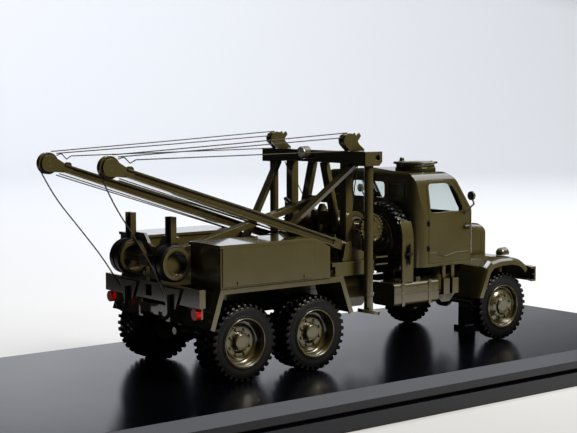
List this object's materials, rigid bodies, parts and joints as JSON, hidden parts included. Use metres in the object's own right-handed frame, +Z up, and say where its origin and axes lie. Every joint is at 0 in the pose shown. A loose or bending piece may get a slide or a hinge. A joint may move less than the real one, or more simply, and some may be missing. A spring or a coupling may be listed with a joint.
{
  "type": "scale model tow truck",
  "caption": "Display model of an army tow truck with a closed cab, crane booms, a cross-beam gantry and push rollers, screwed to a black plinth.",
  "frame": {"origin": "centre of the plinth's footprint, on the surface it stands on", "axes": "+X towards the truck's nose, +Y to the truck's left, +Z up"},
  "size_m": [0.27, 0.115, 0.0815],
  "materials": {
    "olive_paint": "semi-matt olive drab paint",
    "plinth_black": "smooth satin black",
    "black_plastic": "matt black moulding",
    "dark_interior": "matt dark moulding",
    "tyre_rubber": "matt black rubber",
    "roller_rubber": "matt black rubber",
    "clear_plastic": "clear moulded glazing",
    "lamp_lens": "clear lamp lens",
    "red_lens": "glossy red",
    "screw_steel": "plain steel",
    "rope_thread": "dark twisted thread"
  },
  "bodies": {
    "truck": {"axles": "olive_paint", "cab_fittings": "olive_paint", "cab_glass": "clear_plastic", "cab_interior": "dark_interior", "cab_shell": "olive_paint", "cab_steps": "olive_paint", "chassis_frame": "olive_paint", "deck": "olive_paint", "engine": "olive_paint", "front_bumper": "olive_paint", "front_fenders": "olive_paint", "fuel_tank": "olive_paint", "gantry_beam": "olive_paint", "gantry_legs": "olive_paint", "gantry_sheaves": "olive_paint", "gantry_uprights": "olive_paint", "grille": "olive_paint", "headlamp_lenses": "lamp_lens", "headlamps": "olive_paint", "hoist_rope_left": "rope_thread", "hoist_rope_right": "rope_thread", "hood": "olive_paint", "leaf_springs": "olive_paint", "mount_posts": "plinth_black", "plinth": "plinth_black", "plinth_screws": "screw_steel", "push_rollers": "roller_rubber", "rear_fenders": "olive_paint", "rear_plate": "olive_paint", "roller_drums": "olive_paint", "roller_yoke": "olive_paint", "roof_hatch": "olive_paint", "side_boxes": "olive_paint", "spare_carrier": "olive_paint", "spare_rim": "olive_paint", "spare_tyre": "tyre_rubber", "spine": "olive_paint", "stays_left": "rope_thread", "stays_right": "rope_thread", "struts": "olive_paint", "tail_lamps": "red_lens", "tow_hooks": "black_plastic", "winch_bed": "olive_paint", "winches": "olive_paint", "work_lamp": "olive_paint", "work_lamp_lens": "lamp_lens"},
    "wheel_front_left": {"tyre_front_left": "tyre_rubber", "rim_front_left": "olive_paint"},
    "wheel_front_right": {"tyre_front_right": "tyre_rubber", "rim_front_right": "olive_paint"},
    "wheel_middle_left": {"tyre_middle_left": "tyre_rubber", "rim_middle_left": "olive_paint"},
    "wheel_middle_right": {"tyre_middle_right": "tyre_rubber", "rim_middle_right": "olive_paint"},
    "wheel_rear_left": {"tyre_rear_left": "tyre_rubber", "rim_rear_left": "olive_paint"},
    "wheel_rear_right": {"tyre_rear_right": "tyre_rubber", "rim_rear_right": "olive_paint"},
    "boom_left": {"boom_left": "olive_paint"},
    "boom_right": {"boom_right": "olive_paint"}
  },
  "joints": [
    {"name": "front_left_wheel_spin", "type": "hinge", "parent": "truck", "child": "wheel_front_left", "pos_m": [0.0662, 0.0221, 0.02191], "axis": [0, 1, 0], "continuous": true},
    {"name": "front_right_wheel_spin", "type": "hinge", "parent": "truck", "child": "wheel_front_right", "pos_m": [0.0662, -0.0221, 0.02191], "axis": [0, 1, 0], "continuous": true},
    {"name": "middle_left_wheel_spin", "type": "hinge", "parent": "truck", "child": "wheel_middle_left", "pos_m": [-0.01706, 0.0212, 0.02191], "axis": [0, 1, 0], "continuous": true},
    {"name": "middle_right_wheel_spin", "type": "hinge", "parent": "truck", "child": "wheel_middle_right", "pos_m": [-0.01706, -0.0212, 0.02191], "axis": [0, 1, 0], "continuous": true},
    {"name": "rear_left_wheel_spin", "type": "hinge", "parent": "truck", "child": "wheel_rear_left", "pos_m": [-0.04311, 0.0212, 0.02191], "axis": [0, 1, 0], "continuous": true},
    {"name": "rear_right_wheel_spin", "type": "hinge", "parent": "truck", "child": "wheel_rear_right", "pos_m": [-0.04311, -0.0212, 0.02191], "axis": [0, 1, 0], "continuous": true},
    {"name": "boom_left_lift", "type": "hinge", "parent": "truck", "child": "boom_left", "pos_m": [0.0017, 0.0175, 0.046], "axis": [0, 1, 0], "range_deg": [0, 25], "deforming": ["stays_left", "hoist_rope_left"]},
    {"name": "boom_right_lift", "type": "hinge", "parent": "truck", "child": "boom_right", "pos_m": [0.0017, -0.0175, 0.046], "axis": [0, 1, 0], "range_deg": [0, 25], "deforming": ["stays_right", "hoist_rope_right"]}
  ]
}
